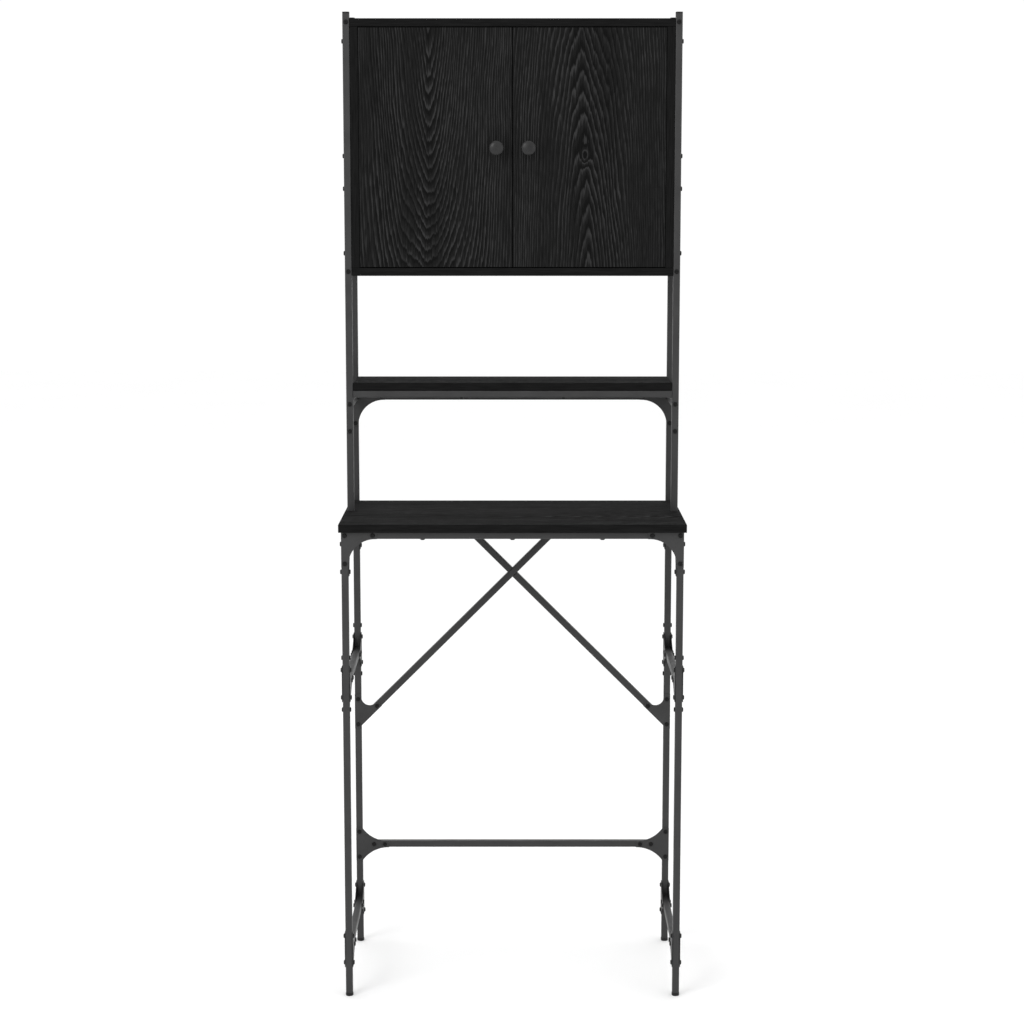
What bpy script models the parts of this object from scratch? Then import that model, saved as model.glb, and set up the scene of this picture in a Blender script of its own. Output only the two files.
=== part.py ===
"""Over the toilet storage rack: a bolted square-tube frame, two open shelves and a two-door cabinet.

Metres, +Z up, X to the right, Y to the back. The origin is on the floor, in the middle of the footprint.
"""
import math

import bmesh
import bpy
from mathutils import Matrix, Vector

# Overall size
WIDTH = 0.645
DEPTH = 0.330
HEIGHT = 1.855

# Stock
GAP = 0.0003            # clearance between neighbouring pieces
TUBE = 0.013            # square steel tube, outside
WALL = 0.0012           # its wall
CORNER = 0.002          # its outside corner radius
BOARD = 0.015           # boards of the shelves, the cabinet and the doors
EASE = 0.0006           # eased edge of a board
BACK_BOARD = 0.003
PLATE = 0.0012          # gusset plates

# Fasteners
HEAD_R = 0.0045
HEAD_TOP_R = 0.0030
HEAD_H = 0.0023
SHANK_R = 0.0025
HOLE_R = SHANK_R + GAP
SINK = 0.0001           # a head's seat lies this far inside its own plate
BOLT_SIDES = 8
ROUND_SIDES = 24

# Feet and caps
FOOT_H = 0.006
FOOT_R = 0.0073
STEM_R = 0.0048
STEM_H = 0.018
CAP_H = 0.003

# Plan of the posts: centre lines. The rear feet reach as far back as the wide shelf reaches forward.
POST_X = 0.3115
POST_Y = {"front": -0.1485, "hutch": 0.0135, "rear": DEPTH / 2 - FOOT_R}
INNER_X = POST_X - TUBE / 2

# Levels
SHELF_TOP = 0.9125
MID_SHELF_TOP = 1.160
CABINET_FLOOR = 1.3634
CABINET_TOP = 1.8425
LOW_RAIL_Z = 0.0914
MID_RAIL_Z = 0.6087
SHELF_SIDE_Z = 0.8738
SHELF_RAIL_Z = SHELF_TOP - BOARD - GAP - TUBE / 2
CROSSBAR_Z = 0.2055
HUTCH_SIDE_Z = 1.120
HUTCH_RAIL_Z = MID_SHELF_TOP - BOARD - GAP - TUBE / 2
CABINET_RAIL_Z = {"lower": CABINET_FLOOR + BOARD / 2, "upper": CABINET_TOP - BOARD / 2}
BRACE_CROSS_Z = 0.767

# Gusset plates, measured from the crossing of the two tubes' centre lines
TEE_BOLTS_POST = 0.02625
TEE_BOLTS_RAIL = (0.0298, 0.0519)
TEE_REACH = 0.0605
TEE_ARC_END = 0.0590
TEE_HALF = 0.0340
CORNER_BOLT_RAIL = 0.0523
CORNER_BOLT_POST = 0.0530
CORNER_REACH = 0.0600
CORNER_ARC = 0.0500
BRACE_BOLTS_POST = (0.4556, 0.5074)
BRACE_BOLT = (0.0383, 0.4936)
BRACE_PAST_BOLT = 0.0070
BRACE_ARC = 0.0170
BRACE_PLATE_Z = (0.4470, 0.5180)

# Cabinet and doors
CABINET_X = INNER_X - GAP
FRONT_Y = POST_Y["hutch"] - TUBE / 2 + GAP
BACK_Y = POST_Y["rear"] - TUBE / 2 - GAP
DOOR_SIDE_GAP = 0.0006
DOOR_END_GAP = 0.0015
DOOR_SET_BACK = 0.0005
KNOB_X = 0.0302
KNOB_R = 0.0135
KNOB_REACH = 0.025
KNOB_NECK_R = 0.0065
KNOB_RIM = 0.0035
KNOB_DOME = 0.0035
KNOB_SCREW_R = 0.0042
KNOB_SCREW_H = 0.0020
HINGE_Z = (1.455, 1.751)
CUP_R = 0.0175
CUP_DEPTH = 0.012
CUP_INSET = 0.0215
ARM = (0.0085, 0.013)           # how far it stands off the side board, and its height
ARM_ENDS = (0.0015, 0.060)      # its ends, behind the door's back
WING = (0.0010, 0.046)          # the wing plate's thickness and height
WING_ENDS = (0.030, 0.044)

# Colours: linear RGB, roughness, metallic
FINISHES = {
    "powder_coat": ((0.052, 0.052, 0.053), 0.55, 0.35),
    "black_oak": ((0.016, 0.015, 0.015), 0.60, 0.0),
    "knob_metal": ((0.050, 0.050, 0.052), 0.35, 0.6),
    "foot_plastic": ((0.018, 0.018, 0.018), 0.60, 0.0),
    "hinge_steel": ((0.55, 0.55, 0.54), 0.30, 0.9),
    "backing_board": ((0.022, 0.021, 0.020), 0.75, 0.0),
}
SIDES = {"left": -1, "right": 1}


# Scene, collections and materials

def clear_scene():
    for thing in list(bpy.data.objects):
        bpy.data.objects.remove(thing, do_unlink=True)


def new_collection(name):
    collection = bpy.data.collections.new(name)
    bpy.context.scene.collection.children.link(collection)
    return collection


def finish(name):
    """The Principled material of that name, made on first use."""
    found = bpy.data.materials.get(name)
    if found:
        return found
    colour, roughness, metallic = FINISHES[name]
    material = bpy.data.materials.new(name)
    material.use_nodes = True
    shader = material.node_tree.nodes["Principled BSDF"]
    shader.inputs["Base Color"].default_value = (*colour, 1.0)
    shader.inputs["Roughness"].default_value = roughness
    shader.inputs["Metallic"].default_value = metallic
    material.diffuse_color = (*colour, 1.0)
    return material


clear_scene()
PARTS = new_collection("over_toilet_storage_rack")
CUTTERS = new_collection("cutters")


# Modelling helpers

def add_part(name, mesh, material, place=None):
    part = bpy.data.objects.new(name, mesh)
    PARTS.objects.link(part)
    if place is not None:
        part.matrix_world = place
    mesh.materials.clear()
    mesh.materials.append(finish(material))
    return part


def boolean(part, tool_mesh, operation):
    """Cut or join tool_mesh, which is in world coordinates."""
    tool = bpy.data.objects.new(part.name + "_" + operation.lower(), tool_mesh)
    CUTTERS.objects.link(tool)
    tool.hide_render = True
    tool.display_type = "WIRE"
    modifier = part.modifiers.new(operation.title(), "BOOLEAN")
    modifier.operation = operation
    modifier.solver = "EXACT"
    modifier.object = tool


def evaluated_mesh(thing, name):
    """The thing's evaluated mesh, welded, with its faces pointing out; the thing itself is removed."""
    bpy.context.view_layer.update()
    graph = bpy.context.evaluated_depsgraph_get()
    mesh = bpy.data.meshes.new_from_object(thing.evaluated_get(graph))
    mesh.name = name
    bpy.data.objects.remove(thing, do_unlink=True)
    body = bmesh.new()
    body.from_mesh(mesh)
    bmesh.ops.remove_doubles(body, verts=body.verts, dist=1e-6)
    bmesh.ops.recalc_face_normals(body, faces=body.faces)
    body.to_mesh(mesh)
    body.free()
    return mesh


def extruded(name, outlines, thickness):
    """Closed outlines in the XY plane, the later ones as holes, made thick along Z about the plane."""
    curve = bpy.data.curves.new(name, "CURVE")
    curve.dimensions = "2D"
    curve.fill_mode = "BOTH"
    curve.extrude = thickness / 2
    for outline in outlines:
        spline = curve.splines.new("POLY")
        spline.points.add(len(outline) - 1)
        for point, (x, y) in zip(spline.points, outline):
            point.co = (x, y, 0, 1)
        spline.use_cyclic_u = True
    shape = bpy.data.objects.new(name, curve)
    PARTS.objects.link(shape)
    return evaluated_mesh(shape, name)


def turned(name, profile, steps):
    """A profile of (radius, height) points, listed from the top down, turned about Z."""
    mesh = bpy.data.meshes.new(name)
    points = [(radius, 0, height) for radius, height in profile]
    mesh.from_pydata(points, [(i, i + 1) for i in range(len(points) - 1)], [])
    shape = bpy.data.objects.new(name, mesh)
    PARTS.objects.link(shape)
    screw = shape.modifiers.new("Screw", "SCREW")
    screw.axis = "Z"
    screw.steps = steps
    screw.render_steps = steps
    screw.use_merge_vertices = True
    screw.merge_threshold = 1e-5
    result = evaluated_mesh(shape, name)
    result.shade_smooth()
    result.set_sharp_from_angle(angle=math.radians(40))
    return result


def boxes(name, corners):
    """One mesh of separate boxes, each given by its low and high corner."""
    body = bmesh.new()
    for low, high in corners:
        middle = (Vector(low) + Vector(high)) / 2
        size = Vector(high) - Vector(low)
        place = Matrix.Translation(middle) @ Matrix.Diagonal((*size, 1))
        bmesh.ops.create_cube(body, size=1, matrix=place)
    mesh = bpy.data.meshes.new(name)
    body.to_mesh(mesh)
    body.free()
    return mesh


def gathered(name, placed):
    """One mesh of copies: (mesh, matrix) pairs. A mirrored copy has its faces turned round again."""
    body = bmesh.new()
    for mesh, matrix in placed:
        start = len(body.verts)
        body.from_mesh(mesh)
        body.verts.ensure_lookup_table()
        fresh = body.verts[start:]
        bmesh.ops.transform(body, matrix=matrix, verts=fresh)
        if matrix.determinant() < 0:
            faces = {face for vert in fresh for face in vert.link_faces}
            bmesh.ops.reverse_faces(body, faces=list(faces))
    result = bpy.data.meshes.new(name)
    body.to_mesh(result)
    body.free()
    return result


def pointing(axis):
    """The rotation that takes +Z to the axis."""
    return Vector((0, 0, 1)).rotation_difference(Vector(axis)).to_matrix().to_4x4()


def cylinders(name, holes, sides):
    """One mesh of round cutters: (centre, axis, radius, length) each."""
    body = bmesh.new()
    for centre, axis, radius, length in holes:
        bmesh.ops.create_cone(
            body,
            cap_ends=True,
            segments=sides,
            radius1=radius,
            radius2=radius,
            depth=length,
            matrix=Matrix.Translation(centre) @ pointing(axis),
        )
    mesh = bpy.data.meshes.new(name)
    body.to_mesh(mesh)
    body.free()
    return mesh


def arc(centre, radius, start, end, steps):
    """Points on a circle from the start to the end angle, in degrees."""
    angles = [math.radians(start + (end - start) * i / steps) for i in range(steps + 1)]
    return [(centre[0] + radius * math.cos(a), centre[1] + radius * math.sin(a)) for a in angles]


def rounded_square(side, radius, steps):
    half = side / 2 - radius
    corners = [(half, half, 0), (-half, half, 90), (-half, -half, 180), (half, -half, 270)]
    points = []
    for x, y, turn in corners:
        points += arc((x, y), radius, turn, turn + 90, steps)
    return points


# Tubes

def tube_mesh(name, length):
    outside = rounded_square(TUBE, CORNER, 2)
    inside = rounded_square(TUBE - 2 * WALL, CORNER - WALL, 1)
    return extruded(name, [outside, inside], length)


def tube(name, start, end):
    start, end = Vector(start), Vector(end)
    place = Matrix.Translation((start + end) / 2) @ pointing(end - start)
    return add_part(name, tube_mesh(name, (end - start).length), "powder_coat", place)


def through_hole(x, y, z):
    """A bolt hole along X through both walls of a tube."""
    return ((x, y, z), (1, 0, 0), HOLE_R, TUBE * 2)


def front_hole(x, y, z):
    """A bolt hole along Y through the front wall of a tube."""
    return ((x, y - TUBE / 2, z), (0, 1, 0), HOLE_R, TUBE / 2)


def drill(part, holes):
    boolean(part, cylinders(part.name + "_holes", holes, BOLT_SIDES), "DIFFERENCE")


def side_bolt_levels():
    """Heights of the bolts that cross a leg or a rear post from side to side."""
    tees = [level + sign * TEE_BOLTS_POST for level in (LOW_RAIL_Z, MID_RAIL_Z) for sign in (-1, 1)]
    return tees + [SHELF_SIDE_Z, SHELF_SIDE_Z - CORNER_BOLT_RAIL]


def front_legs():
    for side, sign in SIDES.items():
        x, y = sign * POST_X, POST_Y["front"]
        leg = tube(side + "_front_leg", (x, y, FOOT_H + GAP), (x, y, SHELF_TOP - BOARD - GAP))
        holes = [through_hole(x, y, z) for z in side_bolt_levels()]
        holes += [front_hole(x, y, z) for z in (SHELF_RAIL_Z, SHELF_RAIL_Z - CORNER_BOLT_POST)]
        drill(leg, holes)


def rear_posts():
    for side, sign in SIDES.items():
        x, y = sign * POST_X, POST_Y["rear"]
        post = tube(side + "_rear_post", (x, y, FOOT_H + GAP), (x, y, HEIGHT - CAP_H - GAP))
        holes = [through_hole(x, y, z) for z in side_bolt_levels()]
        fronts = [CROSSBAR_Z + step * TEE_BOLTS_POST for step in (-1, 1)]
        fronts += [*BRACE_BOLTS_POST, HUTCH_SIDE_Z - CORNER_BOLT_POST]
        drill(post, holes + [front_hole(x, y, z) for z in fronts])


def hutch_posts():
    for side, sign in SIDES.items():
        x, y = sign * POST_X, POST_Y["hutch"]
        tube(side + "_hutch_post", (x, y, SHELF_TOP + GAP), (x, y, HEIGHT - CAP_H - GAP))


def tee_side_rails():
    """The two lower pairs of front-to-back rails, held by tee gussets."""
    front = POST_Y["front"] + TUBE / 2 + GAP
    for level, z in (("low", LOW_RAIL_Z), ("mid", MID_RAIL_Z)):
        for side, sign in SIDES.items():
            x = sign * POST_X
            rail = tube(side + "_" + level + "_side_rail", (x, front, z), (x, BACK_Y, z))
            reaches = [POST_Y["front"] + reach for reach in TEE_BOLTS_RAIL]
            reaches += [POST_Y["rear"] - reach for reach in TEE_BOLTS_RAIL]
            drill(rail, [through_hole(x, y, z) for y in reaches])


def shelf_side_rails():
    """Front-to-back rails under the wide shelf, each made up with its two corner plates and their bolts."""
    front = POST_Y["front"] + TUBE / 2 + GAP
    z = SHELF_SIDE_Z
    for side, sign in SIDES.items():
        x = sign * POST_X
        name = side + "_shelf_side_rail"
        rail = tube(name, (x, front, z), (x, BACK_Y, z))
        plate_x = sign * (INNER_X - GAP - PLATE / 2)
        plate = extruded(name + "_plate", [corner_outline()], PLATE)
        ends = [(POST_Y["front"], 1), (POST_Y["rear"], -1)]
        plates = [(plate, side_place(plate_x, y, z, way)) for y, way in ends]
        bolt = bolt_mesh(TUBE / 2 + GAP, -(TUBE / 2 + GAP + PLATE - SINK))
        bolts = []
        for y, way in ends:
            for dy, dz in ((way * CORNER_BOLT_RAIL, 0), (0, 0), (0, -CORNER_BOLT_RAIL)):
                bolts.append((bolt, Matrix.Translation((x, y + dy, z + dz)) @ pointing((sign, 0, 0))))
        boolean(rail, gathered(name + "_bolts", bolts), "UNION")
        boolean(rail, gathered(name + "_plates", plates), "UNION")


def hutch_side_rails():
    """Front-to-back rails between the hutch post and the rear post, one under the middle shelf and two at the
    cabinet. The one under the shelf stops at the corner plate."""
    front = POST_Y["hutch"] + TUBE / 2 + GAP
    levels = {"hutch": HUTCH_SIDE_Z}
    levels.update({"cabinet_" + place: z for place, z in CABINET_RAIL_Z.items()})
    for level, z in levels.items():
        back = BACK_Y - (PLATE + GAP if level == "hutch" else 0)
        for side, sign in SIDES.items():
            x = sign * POST_X
            tube(side + "_" + level + "_side_rail", (x, front, z), (x, back, z))


def cross_tube(name, y, z, bolt_reaches):
    """A tube from post to post along X, with bolt holes at these distances from the posts' centres."""
    end = INNER_X - GAP
    rail = tube(name, (-end, y, z), (end, y, z))
    if bolt_reaches:
        drill(rail, [front_hole(sign * (POST_X - reach), y, z) for sign in (-1, 1) for reach in bolt_reaches])


def cross_rails():
    cross_tube("front_shelf_rail", POST_Y["front"], SHELF_RAIL_Z, (CORNER_BOLT_RAIL,))
    cross_tube("rear_shelf_rail", POST_Y["rear"], SHELF_RAIL_Z, ())
    cross_tube("hutch_front_rail", POST_Y["hutch"], HUTCH_RAIL_Z, ())
    cross_tube("hutch_rear_rail", POST_Y["rear"], HUTCH_SIDE_Z, (CORNER_BOLT_RAIL,))
    cross_tube("rear_crossbar", POST_Y["rear"], CROSSBAR_Z, TEE_BOLTS_RAIL)


def braces():
    """Two tubes at 45 degrees in the rear plane. They pass through each other in a half lap."""
    y = POST_Y["rear"]
    top = SHELF_RAIL_Z - TUBE / 2 - GAP
    post_face = INNER_X - GAP
    foot_z = BRACE_CROSS_Z - INNER_X
    reach = 4 * TUBE                                # the cutters run this far past the tubes
    lap = TUBE / 2 + GAP
    for side, sign in SIDES.items():
        low = Vector((sign * (INNER_X + TUBE), y, foot_z - TUBE))
        high = Vector((-sign * (top - BRACE_CROSS_Z + TUBE), y, top + TUBE))
        brace = tube(side + "_brace", low, high)
        near, far = sorted((sign * post_face, sign * (post_face + reach)))
        at_post = ((near, y - TUBE, foot_z - reach), (far, y + TUBE, foot_z + reach))
        at_rail = ((-INNER_X, y - TUBE, top), (INNER_X, y + TUBE, top + reach))
        boolean(brace, boxes(brace.name + "_ends", [at_post, at_rail]), "DIFFERENCE")
        lap_low, lap_high = sorted((sign * GAP / 2, -sign * TUBE))
        notch = boxes(brace.name + "_lap", [((-lap, lap_low, -2 * TUBE), (lap, lap_high, 2 * TUBE))])
        turn = Matrix.Rotation(sign * math.pi / 4, 4, "Y")
        notch.transform(Matrix.Translation((0, y, BRACE_CROSS_Z)) @ turn)
        boolean(brace, notch, "DIFFERENCE")
        drill(brace, [front_hole(sign * (POST_X - BRACE_BOLT[0]), y, BRACE_BOLT[1])])


# Gusset plates and their bolts

def bolt_mesh(top_seat, bottom_seat=None):
    """A button-head bolt along Z from a tube's centre line. Without a bottom seat it ends inside the tube."""
    high = top_seat + HEAD_H
    profile = [(0, high), (HEAD_TOP_R, high), (HEAD_R, top_seat), (SHANK_R, top_seat)]
    if bottom_seat is None:
        profile += [(SHANK_R, 0), (0, 0)]
    else:
        low = bottom_seat - HEAD_H
        profile += [(SHANK_R, bottom_seat), (HEAD_R, bottom_seat), (HEAD_TOP_R, low), (0, low)]
    return turned("bolt", profile, BOLT_SIDES)


def tee_outline():
    """A plate over a post, tapering along the rail in two concave arcs. The rail runs to +X."""
    half = TUBE / 2
    rise = TEE_HALF - half
    run = TEE_ARC_END - half
    radius = (run * run + rise * rise) / (2 * rise)
    sweep = math.degrees(math.asin(run / radius))
    upper = arc((TEE_ARC_END, half + radius), radius, 270 - sweep, 270, 6)
    lower = [(x, -y) for x, y in upper]
    return [(-half, -TEE_HALF), *lower, (TEE_REACH, -half),
            (TEE_REACH, half), *reversed(upper), (-half, TEE_HALF)]


def corner_outline():
    """An L of two arms, the rail's to +X and the post's to -Y, with a concave quarter arc between them."""
    half = TUBE / 2
    centre = (half + CORNER_ARC, -half - CORNER_ARC)
    inner = arc(centre, CORNER_ARC, 90, 180, 8)
    return [(-half, half), (CORNER_REACH, half), (CORNER_REACH, -half), *inner,
            (half, -CORNER_REACH), (-half, -CORNER_REACH)]


def brace_outline():
    """A plate over a post and the foot of a brace that rises at 45 degrees to +X. Y is the height."""
    half = TUBE / 2
    lean = half * math.sqrt(2)
    foot = BRACE_CROSS_Z - POST_X                   # height of the brace's centre line at the post's
    arc_x = half + BRACE_ARC
    arc_y = foot + lean + arc_x + math.sqrt(2) * BRACE_ARC
    past = BRACE_PAST_BOLT / math.sqrt(2)
    across = half / math.sqrt(2)
    tip_x, tip_y = BRACE_BOLT[0] + past, BRACE_BOLT[1] + past
    inner = arc((arc_x, arc_y), BRACE_ARC, -45, -180, 7)
    return [(-half, BRACE_PLATE_Z[0]), (half, BRACE_PLATE_Z[0]), (half, foot + half - lean),
            (tip_x + across, tip_y - across), (tip_x - across, tip_y + across), *inner,
            (half, BRACE_PLATE_Z[1]), (-half, BRACE_PLATE_Z[1])]


def side_place(x, y, z, way):
    """Stands an XY outline in the YZ plane, with its +X towards the middle of the rail (way is +1 or -1)."""
    return Matrix(((0, 0, 1, x), (way, 0, 0, y), (0, 1, 0, z), (0, 0, 0, 1)))


def front_place(x, y, z, sign):
    """Stands an XY outline in the XZ plane, with its +X towards the rack's middle."""
    return Matrix(((-sign, 0, 0, x), (0, 0, 1, y), (0, 1, 0, z), (0, 0, 0, 1)))


def tee_gusset_pairs():
    """At each end of each lower side rail: an outer and an inner plate, drawn together by four bolts."""
    plate = extruded("tee_plate", [tee_outline()], PLATE)
    seat = TUBE / 2 + GAP + PLATE - SINK
    bolt = bolt_mesh(seat, -seat)
    offset = TUBE / 2 + GAP + PLATE / 2
    for level, z in (("low", LOW_RAIL_Z), ("mid", MID_RAIL_Z)):
        for end, way in (("front", 1), ("rear", -1)):
            y = POST_Y[end]
            for side, sign in SIDES.items():
                x = sign * POST_X
                name = side + "_" + end + "_" + level + "_gusset_pair"
                plates = [(plate, side_place(x + shift, y, z, way)) for shift in (-offset, offset)]
                pair = add_part(name, gathered(name, plates), "powder_coat")
                spots = [(0, -TEE_BOLTS_POST), (0, TEE_BOLTS_POST)]
                spots += [(way * reach, 0) for reach in TEE_BOLTS_RAIL]
                bolts = [(bolt, Matrix.Translation((x, y + dy, z + dz)) @ pointing((1, 0, 0)))
                         for dy, dz in spots]
                boolean(pair, gathered(name + "_bolts", bolts), "UNION")


def front_plates(name, outline, y, z, spots):
    """A pair of gussets in the XZ plane on the front of the tubes. Their bolts end inside the tubes."""
    plate = extruded(name + "_plate", [outline], PLATE)
    bolt = bolt_mesh(TUBE / 2 + GAP + PLATE - SINK)
    plate_y = y - TUBE / 2 - GAP - PLATE / 2
    for side, sign in SIDES.items():
        x = sign * POST_X
        gusset = add_part(side + "_" + name, gathered(name, [(plate, front_place(x, plate_y, z, sign))]),
                          "powder_coat")
        bolts = [(bolt, Matrix.Translation((x - sign * reach, y, z + rise)) @ pointing((0, -1, 0)))
                 for reach, rise in spots]
        boolean(gusset, gathered(name + "_bolts", bolts), "UNION")


def front_gussets():
    corner = [(0, 0), (CORNER_BOLT_RAIL, 0), (0, -CORNER_BOLT_POST)]
    front_plates("front_corner_gusset", corner_outline(), POST_Y["front"], SHELF_RAIL_Z, corner)
    front_plates("hutch_corner_gusset", corner_outline(), POST_Y["rear"], HUTCH_SIDE_Z, corner[1:])
    tee = [(0, -TEE_BOLTS_POST), (0, TEE_BOLTS_POST)] + [(reach, 0) for reach in TEE_BOLTS_RAIL]
    front_plates("crossbar_gusset", tee_outline(), POST_Y["rear"], CROSSBAR_Z, tee)
    brace = [(0, z) for z in BRACE_BOLTS_POST] + [BRACE_BOLT]
    front_plates("brace_gusset", brace_outline(), POST_Y["rear"], 0, brace)


# Feet

def feet():
    rim = 0.0010
    profile = [(0, FOOT_H + STEM_H), (STEM_R, FOOT_H + STEM_H), (STEM_R, FOOT_H), (FOOT_R, FOOT_H),
               (FOOT_R, rim), (FOOT_R - rim, 0), (0, 0)]
    for end in ("front", "rear"):
        for side, sign in SIDES.items():
            name = side + "_" + end + "_foot"
            place = Matrix.Translation((sign * POST_X, POST_Y[end], 0))
            add_part(name, turned(name, profile, 16), "foot_plastic", place)


# Boards

def board(name, low, high, material="black_oak"):
    """A board with eased edges, given by its low and high corner."""
    middle = (Vector(low) + Vector(high)) / 2
    size = Vector(high) - Vector(low)
    bpy.ops.mesh.primitive_cube_add(size=1)
    cube = bpy.context.object
    mesh = cube.data
    mesh.name = name
    mesh.transform(Matrix.Diagonal((*size, 1)))
    bpy.data.objects.remove(cube, do_unlink=True)
    part = add_part(name, mesh, material, Matrix.Translation(middle))
    bevel = part.modifiers.new("Bevel", "BEVEL")
    bevel.width = EASE
    bevel.segments = 1
    return part


def shelves():
    edge = WIDTH / 2
    board("wide_shelf", (-edge, -DEPTH / 2, SHELF_TOP - BOARD), (edge, BACK_Y, SHELF_TOP))
    board("middle_shelf", (-CABINET_X, FRONT_Y, MID_SHELF_TOP - BOARD), (CABINET_X, BACK_Y, MID_SHELF_TOP))


def cabinet():
    x, inside = CABINET_X, CABINET_X - BOARD
    floor_top, ceiling = CABINET_FLOOR + BOARD, CABINET_TOP - BOARD
    board("cabinet_bottom", (-x, FRONT_Y, CABINET_FLOOR), (x, BACK_Y, floor_top))
    board("cabinet_top", (-x, FRONT_Y, ceiling), (x, BACK_Y, CABINET_TOP))
    for side, sign in SIDES.items():
        near, far = sorted((sign * inside, sign * x))
        board("cabinet_" + side + "_side", (near, FRONT_Y, floor_top + GAP), (far, BACK_Y, ceiling - GAP))
    width = inside - GAP
    panel = board("cabinet_back", (-width, BACK_Y - BACK_BOARD, floor_top + GAP),
                  (width, BACK_Y, ceiling - GAP), "backing_board")
    panel.modifiers.remove(panel.modifiers["Bevel"])


# Doors, knobs and hinges

def door_edges():
    """The doors' outer edge, inner edge, front and back, as distances from the middle and as Y values."""
    outer = CABINET_X - BOARD - DOOR_SIDE_GAP
    front = FRONT_Y + DOOR_SET_BACK
    return outer, DOOR_SIDE_GAP, front, front + BOARD


def hinged(part, axis):
    """Moves a part's origin to a point, leaving its shape where it is."""
    part.data.transform(Matrix.Translation(part.location - axis))
    part.location = axis


def doors():
    outer, inner, front, back = door_edges()
    low_z, high_z = CABINET_FLOOR + BOARD + DOOR_END_GAP, CABINET_TOP - BOARD - DOOR_END_GAP
    knob_z = (low_z + high_z) / 2
    for side, sign in SIDES.items():
        near, far = sorted((sign * inner, sign * outer))
        door = board(side + "_door", (near, front, low_z), (far, back, high_z))
        hinged(door, Vector((sign * outer, front, knob_z)))
        cup_x = sign * (outer - CUP_INSET)
        cups = [((cup_x, back, z), (0, 1, 0), CUP_R, 2 * CUP_DEPTH) for z in HINGE_Z]
        boolean(door, cylinders(door.name + "_cups", cups, ROUND_SIDES), "DIFFERENCE")
        shaft = [((sign * KNOB_X, front, knob_z), (0, 1, 0), HOLE_R, 4 * BOARD)]
        boolean(door, cylinders(door.name + "_knob_hole", shaft, BOLT_SIDES), "DIFFERENCE")
        knob(side, sign, front, back, knob_z)


def knob(side, sign, front, back, z):
    """A mushroom knob with its neck on the door's face, and its screw through the door."""
    face = front - GAP
    shoulder = KNOB_REACH - KNOB_DOME
    slopes = [math.radians(angle) for angle in (0, 30, 60, 90)]
    crown = [(KNOB_R * math.sin(a), shoulder + KNOB_DOME * math.cos(a)) for a in slopes]
    under = [(KNOB_R, shoulder - KNOB_RIM), (KNOB_R * 0.8, shoulder - 2 * KNOB_RIM),
             (KNOB_NECK_R, KNOB_REACH / 3), (KNOB_NECK_R, 0)]
    seat = front - back - 2 * GAP
    end = seat - KNOB_SCREW_H
    screw = [(SHANK_R, 0), (SHANK_R, seat), (KNOB_SCREW_R, seat), (KNOB_SCREW_R * 0.7, end), (0, end)]
    name = side + "_knob"
    mesh = turned(name, crown + under + screw, ROUND_SIDES)
    mesh.transform(pointing((0, -1, 0)))
    outer = door_edges()[0]
    part = add_part(name, mesh, "knob_metal", Matrix.Translation((sign * KNOB_X, face, z)))
    hinged(part, Vector((sign * outer, front, z)))


def hinge_arms():
    """The fixed half of each concealed hinge: a wing plate on the side board and the arm on top of it."""
    inside = CABINET_X - BOARD - GAP
    back = door_edges()[3]
    for side, sign in SIDES.items():
        plate_low, plate_high = sorted((sign * inside, sign * (inside - WING[0])))
        arm_low, arm_high = sorted((sign * (inside - WING[0] / 2), sign * (inside - ARM[0])))
        for place, z in zip(("lower", "upper"), HINGE_Z):
            plate = boxes("wing", [((plate_low, back + WING_ENDS[0], z - WING[1] / 2),
                                    (plate_high, back + WING_ENDS[1], z + WING[1] / 2))])
            body = boxes("arm", [((arm_low, back + ARM_ENDS[0], z - ARM[1] / 2),
                                  (arm_high, back + ARM_ENDS[1], z + ARM[1] / 2))])
            hinge = add_part(side + "_" + place + "_hinge_arm", body, "hinge_steel")
            boolean(hinge, plate, "UNION")


front_legs()
rear_posts()
hutch_posts()
tee_side_rails()
shelf_side_rails()
hutch_side_rails()
cross_rails()
braces()
tee_gusset_pairs()
front_gussets()
feet()
shelves()
cabinet()
doors()
hinge_arms()
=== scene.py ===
import math

import bpy
import numpy as np
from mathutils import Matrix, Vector


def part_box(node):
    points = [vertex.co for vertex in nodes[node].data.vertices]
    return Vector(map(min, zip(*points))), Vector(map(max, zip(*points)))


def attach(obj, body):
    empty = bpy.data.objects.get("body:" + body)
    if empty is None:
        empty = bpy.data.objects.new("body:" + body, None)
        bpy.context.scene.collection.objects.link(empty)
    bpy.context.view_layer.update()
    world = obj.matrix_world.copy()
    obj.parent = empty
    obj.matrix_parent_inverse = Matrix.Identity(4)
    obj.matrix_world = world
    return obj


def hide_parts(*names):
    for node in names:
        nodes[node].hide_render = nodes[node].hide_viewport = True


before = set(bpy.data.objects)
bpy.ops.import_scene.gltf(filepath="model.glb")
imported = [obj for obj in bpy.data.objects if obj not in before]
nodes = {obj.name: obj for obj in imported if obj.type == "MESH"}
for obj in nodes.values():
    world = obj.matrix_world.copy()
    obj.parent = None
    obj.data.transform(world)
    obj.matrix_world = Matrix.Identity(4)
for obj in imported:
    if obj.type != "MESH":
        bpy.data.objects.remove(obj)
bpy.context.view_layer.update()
sides = {"left": -1, "right": 1}
stock = {"tube": 0.013, "corner": 0.002, "wall": 0.0012, "plate": 0.0012, "gap": 0.0003}
print("rack loaded:", len(nodes), "nodes")


# A fresh material with its tree, its shader and its object coordinates.
def startMaterial(name):
    material = bpy.data.materials.new(name)
    material.use_nodes = True
    tree = material.node_tree
    place = tree.nodes.new("ShaderNodeTexCoord")
    return material, tree, tree.nodes["Principled BSDF"], place.outputs["Object"]


# Links a socket, or sets it where the value is plain.
def feed(tree, socket, value):
    if isinstance(value, bpy.types.NodeSocket):
        tree.links.new(value, socket)
    else:
        socket.default_value = value


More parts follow.
